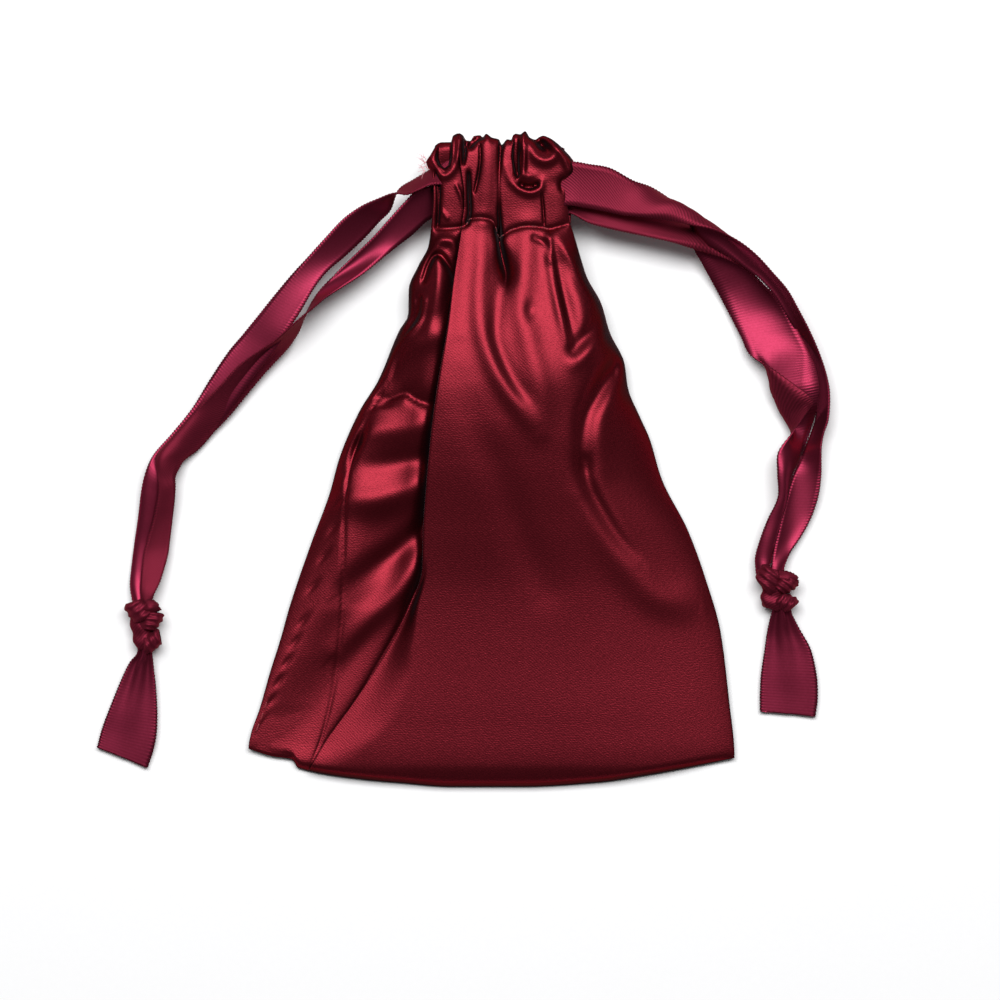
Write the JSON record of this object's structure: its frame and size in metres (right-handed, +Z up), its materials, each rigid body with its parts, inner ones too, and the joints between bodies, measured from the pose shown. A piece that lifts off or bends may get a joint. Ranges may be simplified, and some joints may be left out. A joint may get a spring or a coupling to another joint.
{
  "type": "drawstring pouch",
  "caption": "Small satin drawstring pouch lying flat, mouth drawn shut by ribbons that run through a sewn casing and are knotted at each side.",
  "frame": {"origin": "under the middle of the cloth, on the surface that the pouch lies on", "axes": "+Y from the bottom fold to the gathered mouth, +Z up out of the upper side, +X to the right seen from above with the mouth away"},
  "size_m": [0.1368, 0.1204, 0.0162],
  "materials": {
    "satin_cloth": "satin weave, soft sheen",
    "satin_ribbon": "ribbed satin ribbon with corded edges",
    "sewing_thread": "spun thread"
  },
  "bodies": {
    "root": {"pouch_cloth": "satin_cloth", "left_ribbon": "satin_ribbon", "right_ribbon": "satin_ribbon", "casing_thread_front": "sewing_thread", "casing_thread_back": "sewing_thread", "left_seam_thread": "sewing_thread", "right_seam_thread": "sewing_thread"}
  },
  "joints": []
}
